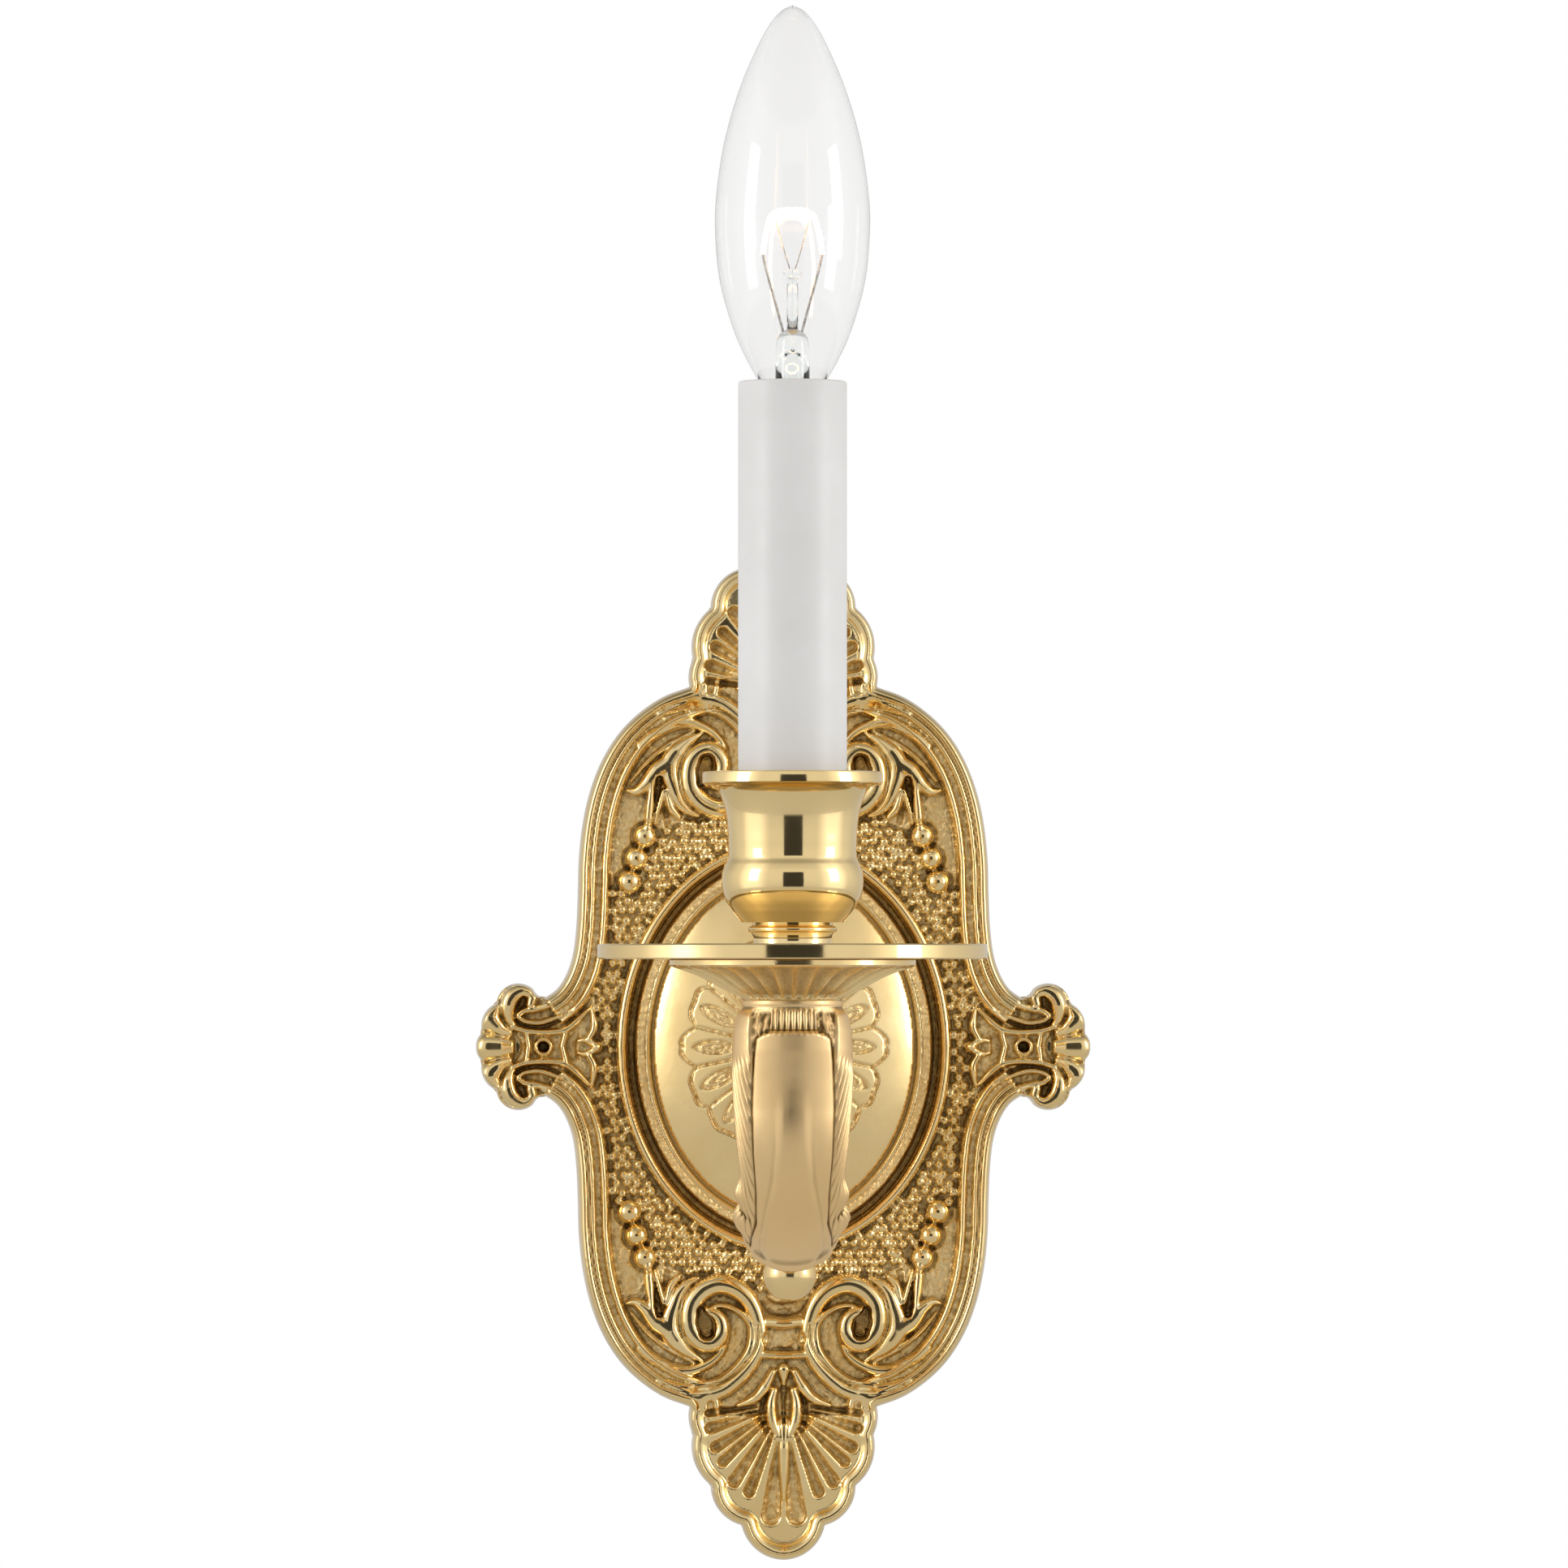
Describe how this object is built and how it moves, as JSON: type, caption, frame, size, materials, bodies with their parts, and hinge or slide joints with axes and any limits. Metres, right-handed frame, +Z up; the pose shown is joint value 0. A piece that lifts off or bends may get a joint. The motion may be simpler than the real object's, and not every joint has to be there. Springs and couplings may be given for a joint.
{
  "type": "wall sconce",
  "caption": "Cast brass wall sconce with an ornate back plate, a scroll arm, a drip pan and a turned cup holding an electric candle with a torpedo lamp.",
  "frame": {"origin": "centre of the wall strap's screw slots, on the wall plane behind the plate's centre", "axes": "+Z up along the candle, +X to the right for someone facing the wall, -Y out of the wall"},
  "size_m": [0.1312, 0.128, 0.3236],
  "materials": {
    "cast_brass": "polished cast brass, darker in the hollows",
    "turned_brass": "polished turned brass",
    "plated_steel": "zinc plated",
    "sleeve_white": "white satin",
    "phenolic": "black moulded phenolic",
    "liner_paper": "waxed fibre",
    "lead_black": "matt",
    "lead_white": "matt",
    "lamp_glass": "clear",
    "stem_glass": "clear",
    "base_shell": "bright rolled brass",
    "insulator_glass": "black fused glass",
    "solder": "dull solder",
    "nickel_wire": "drawn wire",
    "filament_glow": "white hot coil"
  },
  "bodies": {
    "fixture": {"back_plate": "cast_brass", "mounting_strap": "plated_steel", "ground_screw": "plated_steel", "back_nipple": "plated_steel", "strap_nut": "plated_steel", "plate_nut": "plated_steel", "plate_washer": "plated_steel", "arm": "cast_brass", "fluted_cup": "cast_brass", "drip_pan": "turned_brass", "neck_ring": "turned_brass", "candle_cup": "turned_brass", "candle_nipple": "plated_steel", "cup_nut": "plated_steel", "socket_bracket": "plated_steel", "socket_body": "phenolic", "bracket_rivet": "plated_steel", "socket_shell": "base_shell", "centre_contact": "base_shell", "socket_liner": "liner_paper", "hot_lead": "lead_black", "neutral_lead": "lead_white"},
    "sleeve": {"candle_sleeve": "sleeve_white"},
    "lamp_tip": {"lamp_contact": "solder", "lamp_insulator": "insulator_glass"},
    "lamp": {"lamp_envelope": "lamp_glass", "lamp_base": "base_shell", "lamp_stem": "stem_glass", "lamp_lead_ins": "nickel_wire", "lamp_filament": "filament_glow", "lamp_anchors": "nickel_wire"}
  },
  "joints": [
    {"name": "sleeve_lift", "type": "slide", "parent": "fixture", "child": "sleeve", "axis": [0, 0, 1], "range_m": [0, 0.003]},
    {"name": "lamp_rise", "type": "slide", "parent": "fixture", "child": "lamp_tip", "axis": [0, 0, 1], "range_m": [0, 0.0127]},
    {"name": "lamp_turn", "type": "hinge", "parent": "lamp_tip", "child": "lamp", "pos_m": [0, -0.088, 0.12], "axis": [0, 0, 1], "range_deg": [0, 1800]}
  ],
  "couplings": [
    {"joint": "lamp_rise", "follows": "lamp_turn", "m_per_rad": 0.00040425}
  ]
}
